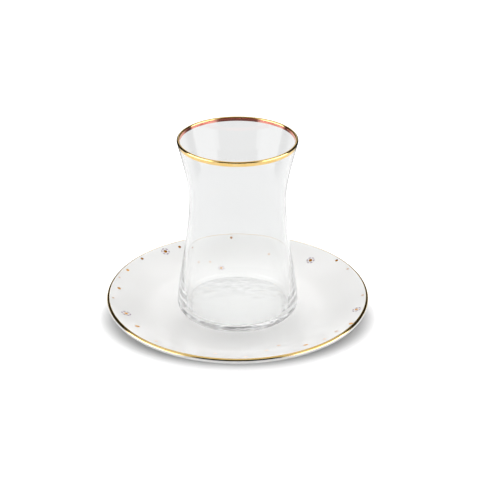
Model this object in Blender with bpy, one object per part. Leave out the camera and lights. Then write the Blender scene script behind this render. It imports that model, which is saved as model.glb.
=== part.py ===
"""A waisted Turkish tea glass with a gilded rim, standing on its gold-lined porcelain saucer.

The saucer stands on its foot ring at the origin, +Z is up, and every size is in metres.
Each piece is turned about the Z axis from an outline of (radius, height) points.
"""

import math

import bmesh
import bpy
from mathutils import Vector

# Turning and fitting
SEGMENTS = 60
MERGE_DISTANCE = 1e-6
REST_GAP = 0.0003        # between the glass's foot and the saucer's well
GOLD_THICKNESS = 0.0002
GOLD_GAP = 0.0002        # between a gold band and what it is fired onto

# Saucer: a round coupe plate of porcelain
SAUCER_RADIUS = 0.066
SAUCER_HEIGHT = 0.01365
WELL_RADIUS = 0.031
WELL_HEIGHT = 0.0057
LIP_RADIUS = 0.0013
COUPE_SLOPE = math.radians(20)
COUPE_WELL_HANDLE = 0.016
COUPE_LIP_HANDLE = 0.014
COUPE_STEPS = 9
COUPE_THICKNESS = 0.0031     # at the well, thinning to the lip's own thickness
FOOT_RING_RADIUS = 0.0335
FOOT_RING_WIDTH = 0.0022
FOOT_RING_ROUNDING = 0.0004
FOOT_RING_FLARE = 0.0009
UNDERSIDE_HEIGHT = 0.0024
LIP_GOLD_START = math.radians(-14)   # from straight up, positive outwards
LIP_GOLD_END = math.radians(60)

# Tea glass: heights are measured up from its own foot
GLASS_HEIGHT = 0.0912
GLASS_RIM_RADIUS = 0.0292
GLASS_WAIST_RADIUS = 0.0238
GLASS_WAIST_HEIGHT = 0.0594
GLASS_BELLY_RADIUS = 0.0304
GLASS_FOOT_ROUNDING = 0.0040
GLASS_FLARE = math.radians(14)
GLASS_LIP_THICKNESS = 0.0014
WALL_UP_FROM_BELLY = 0.0094
WALL_DOWN_FROM_WAIST = 0.0187
WALL_UP_FROM_WAIST = 0.0085
WALL_DOWN_FROM_RIM = 0.0159
FOOT_RING_INNER = 0.0240     # the foot rests on a ring and is hollowed inside it
PUNT_DEPTH = 0.0009

# Inside of the glass: a thin wall and floor, thickest round the corner of the foot
INNER_WAIST_RADIUS = 0.0224
INNER_BELLY_RADIUS = 0.0273
INNER_BELLY_HEIGHT = 0.0090
INNER_FLOOR_HEIGHT = 0.0025
INNER_FLOOR_RADIUS = 0.0222
INNER_FLOOR_DISH = 0.0003
INNER_UP_FROM_BELLY = 0.0150
INNER_CORNER_DROP = 0.0060
INNER_CORNER_RUN = 0.0046

RIM_GOLD_HEIGHT = 0.0024     # how far the gold runs down the outside of the lip

# Looks
CLEAR_GLASS = ((0.93, 0.95, 0.95, 1.0), 0.02, 0.0, 1.0)
PORCELAIN = ((0.86, 0.86, 0.85, 1.0), 0.12, 0.0, 0.0)
BRIGHT_GOLD = ((0.83, 0.60, 0.24, 1.0), 0.18, 1.0, 0.0)


def clear_scene():
    """Removes every object that the file holds."""
    for found in list(bpy.data.objects):
        bpy.data.objects.remove(found, do_unlink=True)


def finish(name, colour, roughness, metallic, transmission):
    """A plain Principled material."""
    material = bpy.data.materials.new(name)
    material.use_nodes = True
    shader = material.node_tree.nodes["Principled BSDF"]
    shader.inputs["Base Color"].default_value = colour
    shader.inputs["Roughness"].default_value = roughness
    shader.inputs["Metallic"].default_value = metallic
    shader.inputs["Transmission Weight"].default_value = transmission
    material.diffuse_color = colour
    return material


def bezier(start, start_handle, end_handle, end, steps):
    """Points along a cubic Bezier curve, both ends included."""
    points = []
    for step in range(steps + 1):
        t = step / steps
        s = 1 - t
        points.append(start * s**3 + start_handle * (3 * s * s * t) + end_handle * (3 * s * t * t) + end * t**3)
    return points


def arc(centre, radius, start, end, steps):
    """Points on a circle, by angle from straight up, positive towards larger radius."""
    return [
        centre + radius * Vector((math.sin(angle), math.cos(angle)))
        for angle in (start + (end - start) * step / steps for step in range(steps + 1))
    ]


def shifted(path, distance):
    """The path moved to its left by a distance, which may be one value or one for each point."""
    moved = []
    last = len(path) - 1
    for i, point in enumerate(path):
        along = (path[min(i + 1, last)] - path[max(i - 1, 0)]).normalized()
        step = distance[i] if isinstance(distance, list) else distance
        moved.append(point + step * Vector((-along.y, along.x)))
    return moved


def turned(name, outline, closed, material, parent, height):
    """One object made by spinning an outline of (radius, height) points about the Z axis."""
    shape = bmesh.new()
    corners = [shape.verts.new((point.x, 0, point.y)) for point in outline]
    ends = corners[1:] + corners[:1] if closed else corners[1:]
    edges = [shape.edges.new(pair) for pair in zip(corners, ends)]
    bmesh.ops.spin(
        shape, geom=corners + edges, cent=(0, 0, 0), axis=(0, 0, 1), dvec=(0, 0, 0),
        angle=math.tau, steps=SEGMENTS, use_merge=True, use_duplicate=False,
    )
    bmesh.ops.remove_doubles(shape, verts=shape.verts, dist=MERGE_DISTANCE)
    bmesh.ops.recalc_face_normals(shape, faces=shape.faces)
    mesh = bpy.data.meshes.new(name)
    shape.to_mesh(mesh)
    shape.free()
    mesh.shade_smooth()
    mesh.set_sharp_from_angle(angle=math.radians(35))
    mesh.materials.append(material)
    piece = bpy.data.objects.new(name, mesh)
    bpy.context.scene.collection.objects.link(piece)
    piece.parent = parent
    piece.location = (0, 0, height)
    return piece


def glass_outer_wall():
    """The outside of the glass from its belly up to the lip: it draws in to the waist, then flares."""
    belly = Vector((GLASS_BELLY_RADIUS, GLASS_FOOT_ROUNDING))
    waist = Vector((GLASS_WAIST_RADIUS, GLASS_WAIST_HEIGHT))
    lip_centre = glass_lip_centre()
    half = GLASS_LIP_THICKNESS / 2
    flare = Vector((math.sin(GLASS_FLARE), math.cos(GLASS_FLARE)))
    rim = lip_centre + half * Vector((flare.y, -flare.x))
    up = Vector((0, 1))
    lower = bezier(belly, belly + WALL_UP_FROM_BELLY * up, waist - WALL_DOWN_FROM_WAIST * up, waist, 8)
    upper = bezier(waist, waist + WALL_UP_FROM_WAIST * up, rim - WALL_DOWN_FROM_RIM * flare, rim, 6)
    return lower + upper[1:]


def glass_lip_centre():
    """Centre of the half circle that rounds the lip off."""
    half = GLASS_LIP_THICKNESS / 2
    return Vector((GLASS_RIM_RADIUS - half, GLASS_HEIGHT - half))


def split_at_height(path, height):
    """The parts of a rising path below and above a height, both with the point at that height."""
    for i in range(1, len(path)):
        low, high = path[i - 1], path[i]
        if low.y < height <= high.y:
            cut = low.lerp(high, (height - low.y) / (high.y - low.y))
            return path[:i] + [cut], [cut] + path[i:]
    raise ValueError("the path doesn't pass that height")


def gilded_lip_path():
    """The outer surface that the rim's gold covers: up the outside of the lip, over it, to its inner edge."""
    _, band = split_at_height(glass_outer_wall(), GLASS_HEIGHT - RIM_GOLD_HEIGHT)
    over = arc(glass_lip_centre(), GLASS_LIP_THICKNESS / 2, math.radians(90) + GLASS_FLARE,
               math.radians(-90) + GLASS_FLARE, 6)
    return band + over[1:]


def tea_glass_outline():
    """From the middle of the foot, round the outside, over the lip and down to the middle of the floor."""
    up = Vector((0, 1))
    punt = [
        Vector((FOOT_RING_INNER * share, PUNT_DEPTH * (1 - share**2)))
        for share in (0, 0.45, 0.8, 1)
    ]
    foot_centre = Vector((GLASS_BELLY_RADIUS - GLASS_FOOT_ROUNDING, GLASS_FOOT_ROUNDING))
    foot = arc(foot_centre, GLASS_FOOT_ROUNDING, math.radians(180), math.radians(90), 5)
    wall, _ = split_at_height(glass_outer_wall(), GLASS_HEIGHT - RIM_GOLD_HEIGHT - GOLD_GAP)
    lip = shifted(gilded_lip_path(), GOLD_THICKNESS + GOLD_GAP)
    lip[0] = Vector((lip[0].x, wall[-1].y))

    flare = Vector((math.sin(GLASS_FLARE), math.cos(GLASS_FLARE)))
    half = GLASS_LIP_THICKNESS / 2
    inner_lip = glass_lip_centre() - half * Vector((flare.y, -flare.x)) - (GOLD_GAP * 2) * flare
    waist = Vector((INNER_WAIST_RADIUS, GLASS_WAIST_HEIGHT))
    belly = Vector((INNER_BELLY_RADIUS, INNER_BELLY_HEIGHT))
    floor = Vector((INNER_FLOOR_RADIUS, INNER_FLOOR_HEIGHT))
    upper = bezier(inner_lip, inner_lip - WALL_DOWN_FROM_RIM * flare, waist + WALL_UP_FROM_WAIST * up, waist, 6)
    lower = bezier(waist, waist - WALL_DOWN_FROM_WAIST * up, belly + INNER_UP_FROM_BELLY * up, belly, 7)
    corner = bezier(belly, belly - INNER_CORNER_DROP * up, floor + Vector((INNER_CORNER_RUN, 0)), floor, 6)
    middle = Vector((0, INNER_FLOOR_HEIGHT - INNER_FLOOR_DISH))
    return punt + foot + wall[1:] + lip + upper + lower[1:] + corner[1:] + [middle]


def rim_gold_outline():
    """A thin hooked band: its outer face is the lip's own surface."""
    outer = gilded_lip_path()
    inner = shifted(outer, GOLD_THICKNESS)
    inner[0] = Vector((inner[0].x, outer[0].y))
    return outer + inner[::-1]


def saucer_lip_centre():
    """Centre of the circle that rounds the saucer's edge."""
    return Vector((SAUCER_RADIUS - LIP_RADIUS, SAUCER_HEIGHT - LIP_RADIUS))


def saucer_top():
    """The upper surface from the flat well out to the lip, a shallow coupe that steepens evenly."""
    well = Vector((WELL_RADIUS, WELL_HEIGHT))
    lip = arc(saucer_lip_centre(), LIP_RADIUS, -COUPE_SLOPE, 0, 1)[0]
    slope = Vector((math.cos(COUPE_SLOPE), math.sin(COUPE_SLOPE)))
    return bezier(well, well + Vector((COUPE_WELL_HANDLE, 0)), lip - COUPE_LIP_HANDLE * slope, lip, COUPE_STEPS)


def saucer_outline():
    """From the middle of the well, out to the lip, round it, back along the underside and over the foot ring."""
    top = saucer_top()
    centre = saucer_lip_centre()
    rebate = LIP_RADIUS - GOLD_THICKNESS - GOLD_GAP
    over = arc(centre, LIP_RADIUS, -COUPE_SLOPE, LIP_GOLD_START, 1)
    over += arc(centre, rebate, LIP_GOLD_START, LIP_GOLD_END, 5)
    over += arc(centre, LIP_RADIUS, LIP_GOLD_END, math.radians(90), 2)
    over += arc(centre, LIP_RADIUS, math.radians(90), math.radians(180) - COUPE_SLOPE, 4)[1:]

    thickness = [
        -(COUPE_THICKNESS + (2 * LIP_RADIUS - COUPE_THICKNESS) * i / COUPE_STEPS) for i in range(COUPE_STEPS + 1)
    ]
    ring_outer = FOOT_RING_RADIUS + FOOT_RING_WIDTH / 2
    ring_inner = FOOT_RING_RADIUS - FOOT_RING_WIDTH / 2
    below = [point for point in shifted(top, thickness)[:-1] if point.x > ring_outer + 2 * FOOT_RING_FLARE]
    foot = [
        Vector((ring_outer + FOOT_RING_FLARE, below[0].y - FOOT_RING_ROUNDING)),
        Vector((ring_outer, FOOT_RING_ROUNDING)),
        Vector((ring_outer - FOOT_RING_ROUNDING, 0)),
        Vector((ring_inner + FOOT_RING_ROUNDING, 0)),
        Vector((ring_inner, FOOT_RING_ROUNDING)),
        Vector((ring_inner - FOOT_RING_FLARE, UNDERSIDE_HEIGHT)),
    ]
    middle = [Vector((0, WELL_HEIGHT))]
    return middle + top[:-1] + over + below[::-1] + foot + [Vector((0, UNDERSIDE_HEIGHT))]


def saucer_gold_outline():
    """A thin curved band let into the top of the lip."""
    centre = saucer_lip_centre()
    end_gap = GOLD_GAP / LIP_RADIUS
    start, end = LIP_GOLD_START + end_gap, LIP_GOLD_END - end_gap
    outer = arc(centre, LIP_RADIUS, start, end, 4)
    inner = arc(centre, LIP_RADIUS - GOLD_THICKNESS, start, end, 4)
    return outer + inner[::-1]


def main():
    """Builds the saucer and the glass that stands in its well."""
    clear_scene()
    porcelain = finish("glazed_porcelain", *PORCELAIN)
    clear_glass = finish("clear_glass", *CLEAR_GLASS)
    gold = finish("bright_gold", *BRIGHT_GOLD)

    tea_set = bpy.data.objects.new("tea_set", None)
    bpy.context.scene.collection.objects.link(tea_set)
    turned("saucer", saucer_outline(), False, porcelain, tea_set, 0)
    turned("saucer_gold_line", saucer_gold_outline(), True, gold, tea_set, 0)

    glass_foot = WELL_HEIGHT + REST_GAP
    turned("tea_glass", tea_glass_outline(), False, clear_glass, tea_set, glass_foot)
    turned("glass_gold_rim", rim_gold_outline(), True, gold, tea_set, glass_foot)


main()
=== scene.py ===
"""A waisted Turkish tea glass with a gilded lip, standing empty on its gold-lined porcelain saucer."""

import math

import bpy
from mathutils import Matrix, Vector


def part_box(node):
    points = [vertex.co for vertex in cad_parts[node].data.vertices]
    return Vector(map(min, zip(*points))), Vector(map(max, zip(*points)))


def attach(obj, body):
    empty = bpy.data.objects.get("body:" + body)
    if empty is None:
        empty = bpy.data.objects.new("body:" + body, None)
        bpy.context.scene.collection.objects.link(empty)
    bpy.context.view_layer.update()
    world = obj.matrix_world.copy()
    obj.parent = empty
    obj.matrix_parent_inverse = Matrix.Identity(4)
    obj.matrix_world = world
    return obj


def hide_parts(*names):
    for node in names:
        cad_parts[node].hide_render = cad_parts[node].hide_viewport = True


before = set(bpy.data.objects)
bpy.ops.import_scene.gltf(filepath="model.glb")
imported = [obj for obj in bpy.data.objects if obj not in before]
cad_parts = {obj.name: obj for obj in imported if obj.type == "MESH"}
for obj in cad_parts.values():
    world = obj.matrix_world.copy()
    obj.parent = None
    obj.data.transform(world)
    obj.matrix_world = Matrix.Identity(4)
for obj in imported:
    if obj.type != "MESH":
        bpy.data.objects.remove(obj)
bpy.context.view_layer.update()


# The saucer: one piece of white porcelain, jiggered thin as a shallow coupe with a round lip, on a foot ring.
# It is glazed all over but for the flat of the foot ring, which stood bare on the kiln shelf.
# It stands loose on the table, and carries the glass in the flat well in its middle.
saucer_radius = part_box("saucer")[1].x
saucer_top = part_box("saucer_gold_line")[1].z
well_radius = 0.031
well_height = 0.0057
saucer_lip_radius = 0.0013
coupe_slope = math.radians(20)
coupe_well_handle = 0.016
coupe_lip_handle = 0.014
well_thickness = 0.0031
foot_ring_radius = 0.0335
foot_ring_width = 0.0022
foot_ring_rounding = 0.0005
foot_ring_fillet = 0.0010
underside_height = 0.0024
underside_dome = 0.0002
foot_ring_clearance = 0.0016
glaze_start_height = 0.0001
glaze_full_height = 0.0003
gilding_depth = 0.00003
coupe_steps = 48
saucer_lip_steps = 40
ring_round_steps = 8
turning_steps = 256
merge_distance = 2e-6
smooth_angle = math.radians(40)


def curve(start, start_handle, end_handle, end, steps):
    """Points along a cubic Bezier curve, both ends included."""
    points = []
    for step in range(steps + 1):
        t = step / steps
        s = 1 - t
        start_pull, end_pull = 3 * s * s * t, 3 * s * t * t
        points.append(start * s**3 + start_handle * start_pull + end_handle * end_pull + end * t**3)
    return points


def round_off(centre, radius, start, end, steps):
    """Points round a circle, by angle from straight up, positive away from the axis."""
    points = []
    for step in range(steps + 1):
        angle = start + (end - start) * step / steps
        points.append(centre + radius * Vector((math.sin(angle), math.cos(angle))))
    return points


def beside(path, distances):
    """The path moved to its left by a distance given for each of its points."""
    moved = []
    last = len(path) - 1
    for place, (point, distance) in enumerate(zip(path, distances)):
        along = (path[min(place + 1, last)] - path[max(place - 1, 0)]).normalized()
        moved.append(point + distance * Vector((-along.y, along.x)))
    return moved


def turn_on_the_wheel(name, outline):
    """Extrudes a vertex along an outline of (radius, height) points, and spins the line round the Z axis."""
    bpy.ops.object.select_all(action="DESELECT")
    bpy.ops.mesh.primitive_plane_add(size=0.001, location=(outline[0].x, 0, outline[0].y))
    piece = bpy.context.active_object
    piece.name = piece.data.name = name
    bpy.ops.object.transform_apply(location=True)
    bpy.ops.object.mode_set(mode="EDIT")
    bpy.ops.mesh.merge(type="CENTER")
    for here, there in zip(outline, outline[1:]):
        step = there - here
        bpy.ops.mesh.extrude_region_move(TRANSFORM_OT_translate={"value": (step.x, 0, step.y)})
    bpy.ops.mesh.select_all(action="SELECT")
    bpy.ops.mesh.spin(
        steps=turning_steps, angle=math.tau, center=(0, 0, 0), axis=(0, 0, 1), use_auto_merge=True
    )
    bpy.ops.mesh.select_all(action="SELECT")
    bpy.ops.mesh.remove_doubles(threshold=merge_distance)
    bpy.ops.mesh.normals_make_consistent(inside=False)
    bpy.ops.object.mode_set(mode="OBJECT")
    bpy.ops.object.shade_smooth_by_angle(angle=smooth_angle)
    return piece


saucer_lip_centre = Vector((saucer_radius - saucer_lip_radius, saucer_top - saucer_lip_radius))
porcelain_lip_radius = saucer_lip_radius - gilding_depth / 2
slope_line = Vector((math.cos(coupe_slope), math.sin(coupe_slope)))
coupe_end = round_off(saucer_lip_centre, porcelain_lip_radius, -coupe_slope, 0, 1)[0]
well_edge = Vector((well_radius, well_height))
coupe = curve(
    well_edge, well_edge + Vector((coupe_well_handle, 0)),
    coupe_end - coupe_lip_handle * slope_line, coupe_end, coupe_steps,
)
lip_round = round_off(
    saucer_lip_centre, porcelain_lip_radius, -coupe_slope, math.pi - coupe_slope, saucer_lip_steps
)
underneath = beside(coupe, [
    -(well_thickness + (2 * porcelain_lip_radius - well_thickness) * place / coupe_steps)
    for place in range(coupe_steps + 1)
])
ring_outside = foot_ring_radius + foot_ring_width / 2
ring_inside = foot_ring_radius - foot_ring_width / 2
underneath = [point for point in underneath if point.x > ring_outside + foot_ring_clearance][:-1]
foot_ring = (
    round_off(Vector((ring_outside + foot_ring_fillet, underneath[0].y - foot_ring_fillet)),
              foot_ring_fillet, 0, math.radians(-90), ring_round_steps)
    + round_off(Vector((ring_outside - foot_ring_rounding, foot_ring_rounding)),
                foot_ring_rounding, math.radians(90), math.radians(180), ring_round_steps)
    + round_off(Vector((ring_inside + foot_ring_rounding, foot_ring_rounding)),
                foot_ring_rounding, math.radians(180), math.radians(270), ring_round_steps)
    + round_off(Vector((ring_inside - foot_ring_fillet, underside_height - foot_ring_fillet)),
                foot_ring_fillet, math.radians(90), 0, ring_round_steps)
)
saucer = turn_on_the_wheel("saucer_body", (
    [Vector((0, well_height)), Vector((well_radius / 2, well_height))] + coupe[:-1] + lip_round
    + underneath[::-1] + foot_ring + [Vector((0, underside_height + underside_dome))]
))

porcelain = bpy.data.materials.new("glazed_porcelain")
porcelain.use_nodes = True
nodes, links = porcelain.node_tree.nodes, porcelain.node_tree.links
shader = nodes["Principled BSDF"]
place = nodes.new("ShaderNodeTexCoord")

clouding = nodes.new("ShaderNodeTexNoise")
clouding.inputs["Scale"].default_value = 22.0
clouding.inputs["Detail"].default_value = 3.0
links.new(place.outputs["Object"], clouding.inputs["Vector"])
glaze_colour = nodes.new("ShaderNodeValToRGB")
glaze_colour.color_ramp.elements[0].position = 0.3
glaze_colour.color_ramp.elements[0].color = (0.745, 0.740, 0.730, 1)
glaze_colour.color_ramp.elements[1].position = 0.7
glaze_colour.color_ramp.elements[1].color = (0.765, 0.762, 0.754, 1)
links.new(clouding.outputs["Fac"], glaze_colour.inputs["Fac"])

height = nodes.new("ShaderNodeSeparateXYZ")
links.new(place.outputs["Object"], height.inputs["Vector"])
bare_foot = nodes.new("ShaderNodeMapRange")
bare_foot.inputs["From Min"].default_value = glaze_start_height
bare_foot.inputs["From Max"].default_value = glaze_full_height
bare_foot.inputs["To Min"].default_value = 1.0
bare_foot.inputs["To Max"].default_value = 0.0
links.new(height.outputs["Z"], bare_foot.inputs["Value"])
foot_grain = nodes.new("ShaderNodeTexNoise")
foot_grain.inputs["Scale"].default_value = 1400.0
links.new(place.outputs["Object"], foot_grain.inputs["Vector"])
foot_colour = nodes.new("ShaderNodeMix")
foot_colour.data_type = "RGBA"
foot_colour.inputs["B"].default_value = (0.62, 0.60, 0.56, 1)
links.new(bare_foot.outputs["Result"], foot_colour.inputs["Factor"])
links.new(glaze_colour.outputs["Color"], foot_colour.inputs["A"])
links.new(foot_colour.outputs["Result"], shader.inputs["Base Color"])

gloss = nodes.new("ShaderNodeMapRange")
gloss.inputs["To Min"].default_value = 0.05
gloss.inputs["To Max"].default_value = 0.09
links.new(clouding.outputs["Fac"], gloss.inputs["Value"])
foot_gloss = nodes.new("ShaderNodeMix")
foot_gloss.inputs["B"].default_value = 0.75
links.new(bare_foot.outputs["Result"], foot_gloss.inputs["Factor"])
links.new(gloss.outputs["Result"], foot_gloss.inputs["A"])
links.new(foot_gloss.outputs["Result"], shader.inputs["Roughness"])

glaze_flow = nodes.new("ShaderNodeBump")
glaze_flow.inputs["Strength"].default_value = 0.25
glaze_flow.inputs["Distance"].default_value = 0.00002
foot_bump = nodes.new("ShaderNodeMath")
foot_bump.operation = "MULTIPLY"
links.new(bare_foot.outputs["Result"], foot_bump.inputs[0])
links.new(foot_grain.outputs["Fac"], foot_bump.inputs[1])
links.new(foot_bump.outputs["Value"], glaze_flow.inputs["Height"])
links.new(glaze_flow.outputs["Normal"], shader.inputs["Normal"])
shader.inputs["IOR"].default_value = 1.5
saucer.data.materials.append(porcelain)
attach(saucer, "root")
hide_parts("saucer")


# The saucer's gold line: liquid bright gold brushed on over the glaze as the saucer turned, and fired.
# It runs over the crown of the lip and a little way down its outside, and leaves the lowest edge white.
gold_line_start = math.radians(-2)
gold_line_end = math.radians(65)
gold_line_steps = 24
wear_dulling = 0.06


def film(path, depth):
    """Closed outline of a thin layer: its outer face is the path, its inner face lies that deep behind."""
    back = beside(path, [depth] * len(path))
    return path + back[::-1] + path[:1]


gold_line = turn_on_the_wheel("saucer_gilding", film(
    round_off(saucer_lip_centre, saucer_lip_radius, gold_line_start, gold_line_end, gold_line_steps),
    -gilding_depth,
))

gilding_wear = bpy.data.node_groups.new("brushed_gilding", "ShaderNodeTree")
gilding_wear.interface.new_socket("Thick Gold", in_out="INPUT", socket_type="NodeSocketColor")
gilding_wear.interface.new_socket("Thin Gold", in_out="INPUT", socket_type="NodeSocketColor")
gilding_wear.interface.new_socket("Gloss", in_out="INPUT", socket_type="NodeSocketFloat")
gilding_wear.interface.new_socket("Brush Scale", in_out="INPUT", socket_type="NodeSocketFloat")
gilding_wear.interface.new_socket("Colour", in_out="OUTPUT", socket_type="NodeSocketColor")
gilding_wear.interface.new_socket("Roughness", in_out="OUTPUT", socket_type="NodeSocketFloat")
gilding_wear.interface.new_socket("Height", in_out="OUTPUT", socket_type="NodeSocketFloat")
group_nodes, group_links = gilding_wear.nodes, gilding_wear.links
given = group_nodes.new("NodeGroupInput")
taken = group_nodes.new("NodeGroupOutput")
group_place = group_nodes.new("ShaderNodeTexCoord")
stroke = group_nodes.new("ShaderNodeTexNoise")
stroke.inputs["Detail"].default_value = 4.0
group_links.new(group_place.outputs["Object"], stroke.inputs["Vector"])
group_links.new(given.outputs["Brush Scale"], stroke.inputs["Scale"])
thinning = group_nodes.new("ShaderNodeMapRange")
thinning.inputs["From Min"].default_value = 0.35
thinning.inputs["From Max"].default_value = 0.75
group_links.new(stroke.outputs["Fac"], thinning.inputs["Value"])
gold_mix = group_nodes.new("ShaderNodeMix")
gold_mix.data_type = "RGBA"
group_links.new(thinning.outputs["Result"], gold_mix.inputs["Factor"])
group_links.new(given.outputs["Thick Gold"], gold_mix.inputs["A"])
group_links.new(given.outputs["Thin Gold"], gold_mix.inputs["B"])
group_links.new(gold_mix.outputs["Result"], taken.inputs["Colour"])
dulling = group_nodes.new("ShaderNodeMath")
dulling.operation = "MULTIPLY_ADD"
dulling.inputs[1].default_value = wear_dulling
group_links.new(thinning.outputs["Result"], dulling.inputs[0])
group_links.new(given.outputs["Gloss"], dulling.inputs[2])
group_links.new(dulling.outputs["Value"], taken.inputs["Roughness"])
group_links.new(stroke.outputs["Fac"], taken.inputs["Height"])


def gilded(name, thick_gold, thin_gold, gloss_value, brush_scale):
    """Fired gold laid on by brush: a metal whose tone and gloss drift along the stroke."""
    material = bpy.data.materials.new(name)
    material.use_nodes = True
    tree = material.node_tree
    surface = tree.nodes["Principled BSDF"]
    surface.inputs["Metallic"].default_value = 1.0
    wear = tree.nodes.new("ShaderNodeGroup")
    wear.node_tree = gilding_wear
    wear.inputs["Thick Gold"].default_value = thick_gold
    wear.inputs["Thin Gold"].default_value = thin_gold
    wear.inputs["Gloss"].default_value = gloss_value
    wear.inputs["Brush Scale"].default_value = brush_scale
    relief = tree.nodes.new("ShaderNodeBump")
    relief.inputs["Strength"].default_value = 0.2
    relief.inputs["Distance"].default_value = 0.00001
    tree.links.new(wear.outputs["Colour"], surface.inputs["Base Color"])
    tree.links.new(wear.outputs["Roughness"], surface.inputs["Roughness"])
    tree.links.new(wear.outputs["Height"], relief.inputs["Height"])
    tree.links.new(relief.outputs["Normal"], surface.inputs["Normal"])
    return material


gold_line.data.materials.append(gilded(
    "saucer_gold", thick_gold=(0.86, 0.60, 0.22, 1), thin_gold=(0.90, 0.68, 0.33, 1),
    gloss_value=0.10, brush_scale=260.0,
))
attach(gold_line, "root")
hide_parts("saucer_gold_line")


# The painted sprigs: drops of gold lustre scattered round the dish, and small open blossoms, each with petals
# of lilac-grey enamel about a lustre drop. They are laid on the glaze and fired, so they follow the dish and
# stand a hair above it. A drop is given as (radius in mm, bearing in degrees, size), a blossom with its turn.
sprig_thickness = 0.00003
sprig_lift = 0.00001
drop_radius = 0.00080
petal_length = 0.00080
petal_width = 0.00042
petal_reach = 0.00190
petal_count = 6
drop_vertices = 14
petal_vertices = 10
inset_share = 0.4
dark_heart_size = 1.25
bright_heart_size = 1.15
lustre_brush_scale = 900.0
thin_lustre_metal = 0.4
dark_drops = ((60.9, 121.1, 1.0), (62.8, 143.9, 1.0), (62.9, 33.7, 1.0), (62.0, 93.6, 1.0))
bright_drops = (
    (62.4, 157.0, 1.0), (60.8, 174.6, 1.1), (63.6, 329.9, 1.3), (57.5, 212.0, 1.4), (58.5, 303.7, 1.5),
)
faint_drops = (
    (63.1, 165.5, 0.7), (62.8, 185.1, 0.8), (60.3, 230.1, 1.2), (56.0, 259.3, 1.2), (62.9, 23.8, 0.8),
    (63.1, 357.1, 0.9), (60.6, 321.9, 1.2), (61.2, 312.8, 1.1), (46.9, 295.0, 1.2), (50.9, 285.9, 1.1),
    (60.6, 273.7, 1.1), (52.1, 69.1, 0.9), (47.4, 119.2, 0.7), (45.9, 110.8, 0.8),
)
dark_blossoms = ((60.9, 129.7, 1.0, 12), (55.9, 46.0, 0.95, 40))
bright_blossoms = ((58.1, 198.3, 1.05, 5), (61.2, 344.4, 0.95, 28), (40.0, 103.6, 0.85, 50))


def set_down(stamp, radius, bearing, size, turned_by):
    """A copy of a flat mark, with a mesh of its own, laid out above the dish."""
    mark = stamp.copy()
    mark.data = stamp.data.copy()
    bpy.context.collection.objects.link(mark)
    out, angle = radius / 1000, math.radians(bearing)
    place = Matrix.Translation((out * math.cos(angle), out * math.sin(angle), saucer_top))
    turn = Matrix.Rotation(math.radians(turned_by), 4, "Z")
    mark.data.transform(place @ turn @ Matrix.Scale(size, 4))
    return mark


def fire_on(name, marks, finish):
    """Joins marks into one piece, lets them down onto the glaze and gives them the thickness of paint."""
    bpy.ops.object.select_all(action="DESELECT")
    for mark in marks:
        mark.select_set(True)
    bpy.context.view_layer.objects.active = marks[0]
    bpy.ops.object.join()
    paint = bpy.context.active_object
    paint.name = paint.data.name = name
    let_down = paint.modifiers.new("let_down", "SHRINKWRAP")
    let_down.target = saucer
    let_down.wrap_method = "PROJECT"
    let_down.use_project_z = True
    let_down.use_positive_direction = False
    let_down.use_negative_direction = True
    let_down.offset = sprig_lift
    bpy.ops.object.modifier_apply(modifier="let_down")
    body = paint.modifiers.new("body", "SOLIDIFY")
    body.thickness = sprig_thickness
    body.offset = 1
    bpy.ops.object.modifier_apply(modifier="body")
    bpy.ops.object.shade_smooth_by_angle(angle=smooth_angle)
    paint.data.materials.append(finish)
    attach(paint, "root")


bpy.ops.object.select_all(action="DESELECT")
bpy.ops.mesh.primitive_circle_add(vertices=drop_vertices, radius=drop_radius, fill_type="NGON")
drop = bpy.context.active_object
bpy.ops.object.mode_set(mode="EDIT")
bpy.ops.mesh.inset(thickness=drop_radius * inset_share)
bpy.ops.object.mode_set(mode="OBJECT")

bpy.ops.object.select_all(action="DESELECT")
bpy.ops.mesh.primitive_circle_add(vertices=petal_vertices, radius=1, fill_type="NGON")
petals = bpy.context.active_object
bpy.ops.object.mode_set(mode="EDIT")
bpy.ops.transform.resize(value=(petal_width, petal_length, 1))
bpy.ops.mesh.inset(thickness=petal_width * inset_share)
bpy.ops.mesh.select_all(action="SELECT")
bpy.ops.transform.translate(value=(petal_reach, 0, 0))
for _ in range(petal_count - 1):
    bpy.ops.mesh.duplicate()
    bpy.ops.transform.rotate(value=math.tau / petal_count, orient_axis="Z", center_override=(0, 0, 0))
bpy.ops.object.mode_set(mode="OBJECT")

dark_marks = [set_down(drop, radius, bearing, size, 0) for radius, bearing, size in dark_drops]
dark_marks += [
    set_down(drop, radius, bearing, size * dark_heart_size, 0)
    for radius, bearing, size, _ in dark_blossoms
]
bright_marks = [set_down(drop, radius, bearing, size, 0) for radius, bearing, size in bright_drops]
bright_marks += [
    set_down(drop, radius, bearing, size * bright_heart_size, 0)
    for radius, bearing, size, _ in bright_blossoms
]
faint_marks = [set_down(drop, radius, bearing, size, 0) for radius, bearing, size in faint_drops]
petal_marks = [set_down(petals, *blossom) for blossom in dark_blossoms + bright_blossoms]
bpy.data.objects.remove(drop)
bpy.data.objects.remove(petals)

# The drops and blossom hearts listed as dark, nearly all at the back of the dish, take a darker copy of the
# lustre, and the bright ones, nearly all at the front and left, a brighter copy: painted shade and painted
# light for how the metal catches the light there.
shaded_lustre = gilded(
    "shaded_lustre", thick_gold=(0.36, 0.13, 0.004, 1), thin_gold=(0.48, 0.20, 0.02, 1),
    gloss_value=0.26, brush_scale=lustre_brush_scale,
)
lit_lustre = gilded(
    "lit_lustre", thick_gold=(0.75, 0.34, 0.03, 1), thin_gold=(0.84, 0.42, 0.06, 1),
    gloss_value=0.26, brush_scale=lustre_brush_scale,
)
faint_lustre = gilded(
    "faint_lustre", thick_gold=(0.60, 0.42, 0.28, 1), thin_gold=(0.70, 0.52, 0.38, 1),
    gloss_value=0.30, brush_scale=lustre_brush_scale,
)
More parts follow.
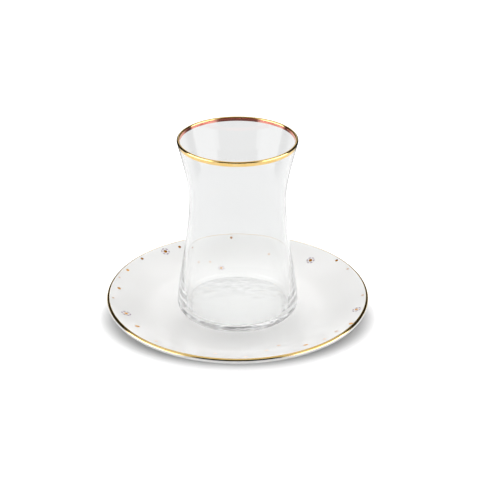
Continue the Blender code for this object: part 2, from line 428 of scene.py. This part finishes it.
# The glaze shows through a thin lustre, so it is only partly a metal.
for thin_lustre in (lit_lustre, faint_lustre):
    thin_lustre.node_tree.nodes["Principled BSDF"].inputs["Metallic"].default_value = thin_lustre_metal
fire_on("sprig_drops_dark", dark_marks, shaded_lustre)
fire_on("sprig_drops_bright", bright_marks, lit_lustre)
fire_on("sprig_drops_faint", faint_marks, faint_lustre)

enamel = bpy.data.materials.new("lilac_enamel")
enamel.use_nodes = True
nodes, links = enamel.node_tree.nodes, enamel.node_tree.links
shader = nodes["Principled BSDF"]
place = nodes.new("ShaderNodeTexCoord")
stipple = nodes.new("ShaderNodeTexNoise")
stipple.inputs["Scale"].default_value = 1100.0
stipple.inputs["Detail"].default_value = 3.0
links.new(place.outputs["Object"], stipple.inputs["Vector"])
enamel_colour = nodes.new("ShaderNodeValToRGB")
enamel_colour.color_ramp.elements[0].position = 0.35
enamel_colour.color_ramp.elements[0].color = (0.33, 0.26, 0.33, 1)
enamel_colour.color_ramp.elements[1].position = 0.65
enamel_colour.color_ramp.elements[1].color = (0.48, 0.40, 0.45, 1)
links.new(stipple.outputs["Fac"], enamel_colour.inputs["Fac"])
links.new(enamel_colour.outputs["Color"], shader.inputs["Base Color"])
enamel_gloss = nodes.new("ShaderNodeMapRange")
enamel_gloss.inputs["To Min"].default_value = 0.18
enamel_gloss.inputs["To Max"].default_value = 0.34
links.new(stipple.outputs["Fac"], enamel_gloss.inputs["Value"])
links.new(enamel_gloss.outputs["Result"], shader.inputs["Roughness"])
enamel_grain = nodes.new("ShaderNodeBump")
enamel_grain.inputs["Strength"].default_value = 0.3
enamel_grain.inputs["Distance"].default_value = 0.00001
links.new(stipple.outputs["Fac"], enamel_grain.inputs["Height"])
links.new(enamel_grain.outputs["Normal"], shader.inputs["Normal"])
fire_on("sprig_petals", petal_marks, enamel)


# The tea glass: clear soda-lime glass, machine blown with a thin waisted wall and a thin floor, and thickest
# round the corner of its foot, where the cold mould left faint marks. Its lip is fire-polished round.
# Its foot is hollowed a little, so that it rests on a ring in the saucer's well.
glass_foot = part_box("tea_glass")[0].z
glass_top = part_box("glass_gold_rim")[1].z
rim_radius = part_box("glass_gold_rim")[1].x
belly_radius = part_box("tea_glass")[1].x
belly_height = 0.0040
waist_radius = 0.0238
waist_height = 0.0594
flare = math.radians(14)
lip_thickness = 0.0014
up_from_belly = 0.0094
down_from_waist = 0.0187
up_from_waist = 0.0085
down_from_rim = 0.0159
rest_ring_radius = 0.0240
punt_depth = 0.0009
inner_waist_radius = 0.0224
inner_belly_radius = 0.0273
inner_belly_height = 0.0090
floor_height = 0.0025
floor_radius = 0.0222
floor_dish = 0.0003
inner_up_from_belly = 0.0150
inner_corner_drop = 0.0060
inner_corner_run = 0.0046
gold_band_height = 0.0024
punt_shares = (0, 0.25, 0.5, 0.7, 0.85, 0.95, 1)
foot_corner_steps = 18
wall_steps = 40
flare_steps = 60
lip_steps = 24
inner_corner_steps = 30
floor_steps = 10
chill_start_height = 0.030
chill_full_height = 0.010
chill_depth = 3.8
scuffs_above_rest = 0.00008
scuffed_above_rest = 0.00003
scuff_dulling = 0.25
trapped_after = 4
stray_strength = 0.23
whole_number_slack = 0.5

up = Vector((0, 1))
foot = Vector((0, glass_foot))
wall_line = Vector((math.sin(flare), math.cos(flare)))
wall_normal = Vector((wall_line.y, -wall_line.x))
half_lip = lip_thickness / 2
lip_centre = Vector((rim_radius - half_lip, glass_top - half_lip))
rim_edge = lip_centre + half_lip * wall_normal
belly = foot + Vector((belly_radius, belly_height))
waist = foot + Vector((waist_radius, waist_height))
outer_wall = (
    curve(belly, belly + up_from_belly * up, waist - down_from_waist * up, waist, wall_steps)
    + curve(waist, waist + up_from_waist * up,
            rim_edge - down_from_rim * wall_line, rim_edge, flare_steps)[1:]
)
punt = [foot + Vector((rest_ring_radius * share, punt_depth * (1 - share**2))) for share in punt_shares]
foot_corner = round_off(
    belly - Vector((belly_height, 0)), belly_height, math.pi, math.pi / 2, foot_corner_steps
)
inner_edge = lip_centre - half_lip * wall_normal
inner_waist = foot + Vector((inner_waist_radius, waist_height))
inner_belly = foot + Vector((inner_belly_radius, inner_belly_height))
floor_edge = foot + Vector((floor_radius, floor_height))
floor_middle = foot + Vector((0, floor_height - floor_dish))
inner_wall = (
    curve(inner_edge, inner_edge - down_from_rim * wall_line,
          inner_waist + up_from_waist * up, inner_waist, wall_steps)
    + curve(inner_waist, inner_waist - down_from_waist * up,
            inner_belly + inner_up_from_belly * up, inner_belly, wall_steps)[1:]
    + curve(inner_belly, inner_belly - inner_corner_drop * up,
            floor_edge + Vector((inner_corner_run, 0)), floor_edge, inner_corner_steps)[1:]
    + curve(floor_edge, floor_edge - Vector((floor_radius / 2, 0)),
            floor_middle + Vector((floor_radius / 2, 0)), floor_middle, floor_steps)[1:]
)
lip_top = round_off(lip_centre, half_lip, math.pi / 2 + flare, flare - math.pi / 2, lip_steps)
bare_wall = [point for point in outer_wall if point.y <= glass_top - gold_band_height]
gilded_wall = [point for point in outer_wall if point.y > glass_top - gold_band_height]
gilded_path = gilded_wall + lip_top[1:]
under_gold = beside(gilded_path, [gilding_depth / 2] * len(gilded_path))
glass = turn_on_the_wheel("tea_glass_body", punt + foot_corner + bare_wall[1:] + under_gold + inner_wall[1:])

clear_glass = bpy.data.materials.new("clear_glass")
clear_glass.use_nodes = True
nodes, links = clear_glass.node_tree.nodes, clear_glass.node_tree.links
shader = nodes["Principled BSDF"]
shader.inputs["Transmission Weight"].default_value = 1.0
shader.inputs["IOR"].default_value = 1.5
place = nodes.new("ShaderNodeTexCoord")
stretch = nodes.new("ShaderNodeMapping")
stretch.inputs["Scale"].default_value = (1.0, 1.0, 0.35)
links.new(place.outputs["Object"], stretch.inputs["Vector"])
waviness = nodes.new("ShaderNodeTexNoise")
waviness.inputs["Scale"].default_value = 70.0
waviness.inputs["Detail"].default_value = 1.0
links.new(stretch.outputs["Vector"], waviness.inputs["Vector"])
chill_marks = nodes.new("ShaderNodeTexNoise")
chill_marks.inputs["Scale"].default_value = 190.0
chill_marks.inputs["Detail"].default_value = 0.5
links.new(stretch.outputs["Vector"], chill_marks.inputs["Vector"])
height = nodes.new("ShaderNodeSeparateXYZ")
links.new(place.outputs["Object"], height.inputs["Vector"])
near_foot = nodes.new("ShaderNodeMapRange")
near_foot.interpolation_type = "SMOOTHSTEP"
near_foot.inputs["From Min"].default_value = chill_start_height
near_foot.inputs["From Max"].default_value = chill_full_height
near_foot.inputs["To Max"].default_value = chill_depth
links.new(height.outputs["Z"], near_foot.inputs["Value"])
uneven = nodes.new("ShaderNodeMath")
uneven.operation = "MULTIPLY_ADD"
links.new(chill_marks.outputs["Fac"], uneven.inputs[0])
links.new(near_foot.outputs["Result"], uneven.inputs[1])
links.new(waviness.outputs["Fac"], uneven.inputs[2])
ripple = nodes.new("ShaderNodeBump")
ripple.inputs["Strength"].default_value = 0.3
ripple.inputs["Distance"].default_value = 0.0002
links.new(uneven.outputs["Value"], ripple.inputs["Height"])
links.new(ripple.outputs["Normal"], shader.inputs["Normal"])
tint = nodes.new("ShaderNodeValToRGB")
tint.color_ramp.elements[0].color = (0.974, 0.980, 0.980, 1)
tint.color_ramp.elements[1].color = (0.984, 0.987, 0.987, 1)
links.new(waviness.outputs["Fac"], tint.inputs["Fac"])
links.new(tint.outputs["Color"], shader.inputs["Base Color"])
resting = nodes.new("ShaderNodeMapRange")
resting.inputs["From Min"].default_value = glass_foot + scuffs_above_rest
resting.inputs["From Max"].default_value = glass_foot + scuffed_above_rest
links.new(height.outputs["Z"], resting.inputs["Value"])
scuffs = nodes.new("ShaderNodeMath")
scuffs.operation = "MULTIPLY"
scuffs.inputs[1].default_value = scuff_dulling
links.new(resting.outputs["Result"], scuffs.inputs[0])
links.new(scuffs.outputs["Value"], shader.inputs["Roughness"])
# Light trapped between the two faces of the wall runs out of bounces, so a faint glow stands for it.
seen = nodes.new("ShaderNodeLightPath")
trapped = nodes.new("ShaderNodeMath")
trapped.operation = "COMPARE"
trapped.inputs[1].default_value = trapped_after
trapped.inputs[2].default_value = whole_number_slack
links.new(seen.outputs["Glossy Depth"], trapped.inputs[0])
stray_light = nodes.new("ShaderNodeMath")
stray_light.operation = "MULTIPLY"
stray_light.inputs[1].default_value = stray_strength
links.new(trapped.outputs["Value"], stray_light.inputs[0])
links.new(stray_light.outputs["Value"], shader.inputs["Emission Color"])
shader.inputs["Emission Strength"].default_value = 1.0
clear_glass.cycles.emission_sampling = "NONE"
glass.data.materials.append(clear_glass)
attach(glass, "root")
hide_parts("tea_glass")


# The gold on the glass's lip: liquid bright gold banded on as the glass turned, and fired at low heat.
# It covers the outside of the lip and its round top. Its back, seen through the glass, is a copper red.
lip_gold = turn_on_the_wheel("lip_gilding", film(gilded_path, gilding_depth))
fired_gold = gilded(
    "lip_gold", thick_gold=(0.86, 0.58, 0.20, 1), thin_gold=(0.90, 0.66, 0.30, 1),
    gloss_value=0.08, brush_scale=320.0,
)
gold_back = gilded(
    "lip_gold_back", thick_gold=(0.90, 0.36, 0.28, 1), thin_gold=(0.94, 0.42, 0.33, 1),
    gloss_value=0.08, brush_scale=320.0,
)
lip_gold.data.materials.append(fired_gold)
lip_gold.data.materials.append(gold_back)
for face in lip_gold.data.polygons:
    outwards = Vector((face.center.x, face.center.y, 0)).normalized()
    around = Vector((outwards.dot(face.center), face.center.z)) - lip_centre
    facing = Vector((outwards.dot(face.normal), face.normal.z))
    towards_glass = facing.dot(wall_normal) < 0 if around.dot(wall_line) < 0 else facing.dot(around) < 0
    face.material_index = 1 if towards_glass else 0
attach(lip_gold, "root")
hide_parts("glass_gold_rim")


# The table: a wide sheet of matt white laminate. The camera sees it at half its whiteness with a glow painted
# on outside an oval round the saucer, so it shows plain white and the oval inside is a painted soft shadow,
# where only deep shade shows. Mirrors see its lit middle fall off into the dark room and two bands of painted
# glow where the feet of two softboxes would be, and through glass it is a painted even white glow.
table_radius = 6.0
table_vertices = 96
lit_centre_y = -0.25
lit_radius = 0.37
unlit_radius = 0.46
table_exposed = 0.47
table_white = 0.93
glow_strength = 0.90
glow_start = 0.060
glow_full = 0.078
glow_oval = 0.715
softbox_light = 5.0
softbox_through_glass = 1.25
to_the_back_start = math.radians(115)
to_the_back_full = math.radians(145)
softbox_start = math.radians(47)
softbox_end = math.radians(102)
soft_edge = math.radians(4)
seen_through_glass = 0.89
lit_through_glass = 3.9
bpy.ops.object.select_all(action="DESELECT")
bpy.ops.mesh.primitive_circle_add(vertices=table_vertices, radius=table_radius, fill_type="NGON")
table = bpy.context.active_object
table.name = table.data.name = "white_table"
laminate = bpy.data.materials.new("white_laminate")
laminate.use_nodes = True
nodes, links = laminate.node_tree.nodes, laminate.node_tree.links
nodes.remove(nodes["Principled BSDF"])


def softly(value, low, high):
    """A smooth step on a value, from 0 at the low end to 1 at the high end."""
    step = nodes.new("ShaderNodeMapRange")
    step.interpolation_type = "SMOOTHSTEP"
    step.inputs["From Min"].default_value = low
    step.inputs["From Max"].default_value = high
    links.new(value, step.inputs["Value"])
    return step.outputs["Result"]


def worked_out(operation, *values):
    """One step of arithmetic on values."""
    step = nodes.new("ShaderNodeMath")
    step.operation = operation
    for socket, value in zip(step.inputs, values):
        if isinstance(value, (int, float)):
            socket.default_value = value
        else:
            links.new(value, socket)
    return step.outputs["Value"]


def all_but(share):
    """What a share leaves of 1."""
    return worked_out("SUBTRACT", 1, share)


def between(value, low, high, edge):
    """A band of a value: 1 inside it, fading to 0 over its soft edges."""
    return worked_out(
        "SUBTRACT", softly(value, low - edge, low + edge), softly(value, high - edge, high + edge)
    )


def one_or_other(share, value_at_0, value_at_1):
    """A blend of two values by a share from 0 to 1."""
    first = worked_out("MULTIPLY", all_but(share), value_at_0)
    return worked_out("ADD", first, worked_out("MULTIPLY", share, value_at_1))


place = nodes.new("ShaderNodeTexCoord")
distance = nodes.new("ShaderNodeVectorMath")
distance.operation = "DISTANCE"
distance.inputs[1].default_value = (0, lit_centre_y, 0)
links.new(place.outputs["Object"], distance.inputs[0])
oval = nodes.new("ShaderNodeMapping")
oval.vector_type = "TEXTURE"
oval.inputs["Scale"].default_value = (1, glow_oval, 1)
links.new(place.outputs["Object"], oval.inputs["Vector"])
from_shadow = nodes.new("ShaderNodeVectorMath")
from_shadow.operation = "LENGTH"
links.new(oval.outputs["Vector"], from_shadow.inputs[0])
seen = nodes.new("ShaderNodeLightPath")
mirrored = worked_out("MULTIPLY", seen.outputs["Is Glossy Ray"], seen.outputs["Is Reflection Ray"])
refracted = seen.outputs["Is Transmission Ray"]
spread = nodes.new("ShaderNodeSeparateXYZ")
links.new(place.outputs["Object"], spread.inputs["Vector"])
bearing = worked_out("ARCTAN2", spread.outputs["X"], worked_out("MULTIPLY", spread.outputs["Y"], -1))
bearing = worked_out("ABSOLUTE", bearing)
mirrored_once = worked_out("COMPARE", seen.outputs["Glossy Depth"], 1, whole_number_slack)
mirrored_in_glass = worked_out("MULTIPLY", mirrored_once, refracted)
not_behind = all_but(softly(bearing, to_the_back_start, to_the_back_full))
unlit = worked_out("MAXIMUM", mirrored, worked_out("MULTIPLY", mirrored_in_glass, not_behind))
unlit = worked_out("MULTIPLY", unlit, softly(distance.outputs["Value"], lit_radius, unlit_radius))
# Mirrors and glass see two bands of the table glow at the softboxes' bearings: a painted reflection of the
# feet of softboxes.
softbox_on_gold = worked_out("MULTIPLY", all_but(seen.outputs["Is Singular Ray"]), softbox_light)
softbox_seen = one_or_other(mirrored_in_glass, softbox_on_gold, softbox_through_glass)
painted_softbox_glow = worked_out("MULTIPLY", unlit, between(bearing, softbox_start, softbox_end, soft_edge))
matt = nodes.new("ShaderNodeBsdfDiffuse")
# Straight to the camera the table is given about half its whiteness, a painted darkening that deepens the
# shade under the saucer.
whiteness = one_or_other(seen.outputs["Is Camera Ray"], table_white, table_exposed)
whiteness = worked_out("MULTIPLY", whiteness, all_but(unlit))
links.new(worked_out("MULTIPLY", whiteness, all_but(refracted)), matt.inputs["Color"])
glow = nodes.new("ShaderNodeEmission")
# A glow painted on the table for the camera only, fading in outside an oval round the saucer: inside the oval
# it leaves a painted soft shadow.
painted_glow_outside_shadow_oval = worked_out(
    "MULTIPLY", softly(from_shadow.outputs["Value"], glow_start, glow_full), glow_strength
)
# Seen through glass the table is a painted even glow, much brighter for rays that come off a matt surface, so
# the saucer under the glass is lit by it.
after_matt = worked_out("MINIMUM", seen.outputs["Diffuse Depth"], 1)
even_white = one_or_other(after_matt, seen_through_glass, lit_through_glass)
even_white = worked_out("MULTIPLY", even_white, all_but(unlit))
glow_sum = worked_out(
    "ADD", worked_out("MULTIPLY", seen.outputs["Is Camera Ray"], painted_glow_outside_shadow_oval),
    worked_out("MULTIPLY", refracted, even_white),
)
glow_sum = worked_out("ADD", glow_sum, worked_out("MULTIPLY", painted_softbox_glow, softbox_seen))
links.new(glow_sum, glow.inputs["Strength"])
both = nodes.new("ShaderNodeAddShader")
links.new(matt.outputs["BSDF"], both.inputs[0])
links.new(glow.outputs["Emission"], both.inputs[1])
links.new(both.outputs["Shader"], nodes["Material Output"].inputs["Surface"])
table.data.materials.append(laminate)


# The light: a soft white dome, brightest behind and low in front, with a weaker band on each flank. Mirror
# surfaces see a studio instead: a soft panel overhead, a tall one at each side and a white wall straight
# behind, with the room dark between them. A pair of numbers is where a soft edge starts and where it ends.
dome_light = 0.42
back_light = 2.1
back_reach = (-0.3, 0.9)
flank_light = 0.42
flank_front_edge = (math.radians(55), math.radians(70))
flank_back_edge = (math.radians(110), math.radians(125))
flank_top = (0.80, 0.90)
front_light = 3.2
front_side_edge = (math.radians(60), math.radians(80))
front_top = (0.02, 0.14)
room_light = 0.02
overhead_light = 0.75
overhead_edge = (0.64, 0.72)
overhead_front_edge = (0.20, 0.32)
side_light = 1.0
side_panel_start = math.radians(40)
side_panel_end = math.radians(96)
side_panel_fade = 4 * soft_edge
side_panel_top = (0.70, 0.80)
wall_light = 0.9
back_wall_start = math.radians(171)
softbox_top = (0.40, 0.50)
haze_in_glass = 0.62
haze_in_mirrors = 0.15
haze_rise = (0.15, 0.35)
studio = bpy.data.worlds.new("soft_studio")
bpy.context.scene.world = studio
studio.use_nodes = True
nodes, links = studio.node_tree.nodes, studio.node_tree.links
nodes.clear()
place = nodes.new("ShaderNodeTexCoord")
direction = nodes.new("ShaderNodeSeparateXYZ")
links.new(place.outputs["Generated"], direction.inputs["Vector"])
rise = direction.outputs["Z"]
towards_camera = worked_out("MULTIPLY", direction.outputs["Y"], -1)
bearing = worked_out("ABSOLUTE", worked_out("ARCTAN2", direction.outputs["X"], towards_camera))

from_behind = softly(direction.outputs["Y"], *back_reach)
lamps = worked_out("ADD", dome_light, worked_out("MULTIPLY", from_behind, back_light))
flanks = worked_out("SUBTRACT", softly(bearing, *flank_front_edge), softly(bearing, *flank_back_edge))
flanks = worked_out("MULTIPLY", flanks, all_but(softly(rise, *flank_top)))
lamps = worked_out("ADD", lamps, worked_out("MULTIPLY", flanks, flank_light))
low_in_front = worked_out(
    "MULTIPLY", all_but(softly(bearing, *front_side_edge)), all_but(softly(rise, *front_top))
)
lamps = worked_out("ADD", lamps, worked_out("MULTIPLY", low_in_front, front_light))

overhead = worked_out(
    "MULTIPLY", softly(rise, *overhead_edge), all_but(softly(towards_camera, *overhead_front_edge))
)
side_panels = worked_out(
    "SUBTRACT", softly(bearing, side_panel_start - soft_edge, side_panel_start + soft_edge),
    softly(bearing, side_panel_end - side_panel_fade, side_panel_end + soft_edge),
)
side_panels = worked_out("MULTIPLY", side_panels, all_but(softly(rise, *side_panel_top)))
back_wall = softly(bearing, back_wall_start - soft_edge, back_wall_start + soft_edge)
softboxes = worked_out(
    "MULTIPLY", between(bearing, softbox_start, softbox_end, soft_edge), all_but(softly(rise, *softbox_top))
)
mirrored_room = worked_out("ADD", room_light, worked_out("MULTIPLY", overhead, overhead_light))
mirrored_room = worked_out("MAXIMUM", mirrored_room, worked_out("MULTIPLY", side_panels, side_light))
mirrored_room = worked_out("MAXIMUM", mirrored_room, worked_out("MULTIPLY", back_wall, wall_light))

seen = nodes.new("ShaderNodeLightPath")
after_matt = worked_out("MINIMUM", seen.outputs["Diffuse Depth"], 1)
to_the_back = softly(bearing, to_the_back_start, to_the_back_full)
through_glass = worked_out("MAXIMUM", mirrored_room, worked_out("MULTIPLY", to_the_back, seen_through_glass))
after_mirror = worked_out("MAXIMUM", through_glass, worked_out("MULTIPLY", softboxes, softbox_through_glass))
haze_after_mirror = one_or_other(softly(rise, *haze_rise), haze_in_mirrors, haze_in_glass)
after_mirror = worked_out("MAXIMUM", after_mirror, haze_after_mirror)
through_glass = worked_out("MAXIMUM", through_glass, haze_in_glass)
mirrored_once = worked_out("COMPARE", seen.outputs["Glossy Depth"], 1, whole_number_slack)
through_glass = one_or_other(mirrored_once, through_glass, after_mirror)
even_white = one_or_other(after_matt, through_glass, lit_through_glass)
mirrored = worked_out("MULTIPLY", seen.outputs["Is Glossy Ray"], seen.outputs["Is Reflection Ray"])
on_gold = all_but(seen.outputs["Is Singular Ray"])
softboxes = worked_out("MULTIPLY", worked_out("MULTIPLY", softboxes, on_gold), softbox_light)
mirrored_room = worked_out("MAXIMUM", mirrored_room, softboxes)
strength = one_or_other(mirrored, lamps, mirrored_room)
strength = one_or_other(seen.outputs["Is Transmission Ray"], strength, even_white)
strength = one_or_other(seen.outputs["Is Camera Ray"], strength, 1)
background = nodes.new("ShaderNodeBackground")
background.inputs["Color"].default_value = (1, 1, 1, 1)
links.new(strength, background.inputs["Strength"])
sky = nodes.new("ShaderNodeOutputWorld")
links.new(background.outputs["Background"], sky.inputs["Surface"])
bpy.context.scene.view_settings.view_transform = "Standard"
bpy.context.scene.cycles.max_bounces = 24
bpy.context.scene.cycles.glossy_bounces = 16
bpy.context.scene.cycles.transmission_bounces = 20


# The camera: a long lens about two thirds of a metre away, looking down on the glass from the front.
# It aims a little to the right of the common axis, as the photo's frame does.
camera_rise = math.radians(26.67)
camera_distance = 0.6734
camera_target = Vector((0.0012, 0, 0.0427))
camera_lens = 101.7
bpy.ops.object.camera_add(
    location=camera_target + camera_distance * Vector((0, -math.cos(camera_rise), math.sin(camera_rise))),
    rotation=(math.pi / 2 - camera_rise, 0, 0),
)
camera = bpy.context.active_object
camera.data.lens = camera_lens
camera.data.sensor_width = 36
camera.data.clip_start = 0.01
camera.data.clip_end = 20
bpy.context.scene.camera = camera
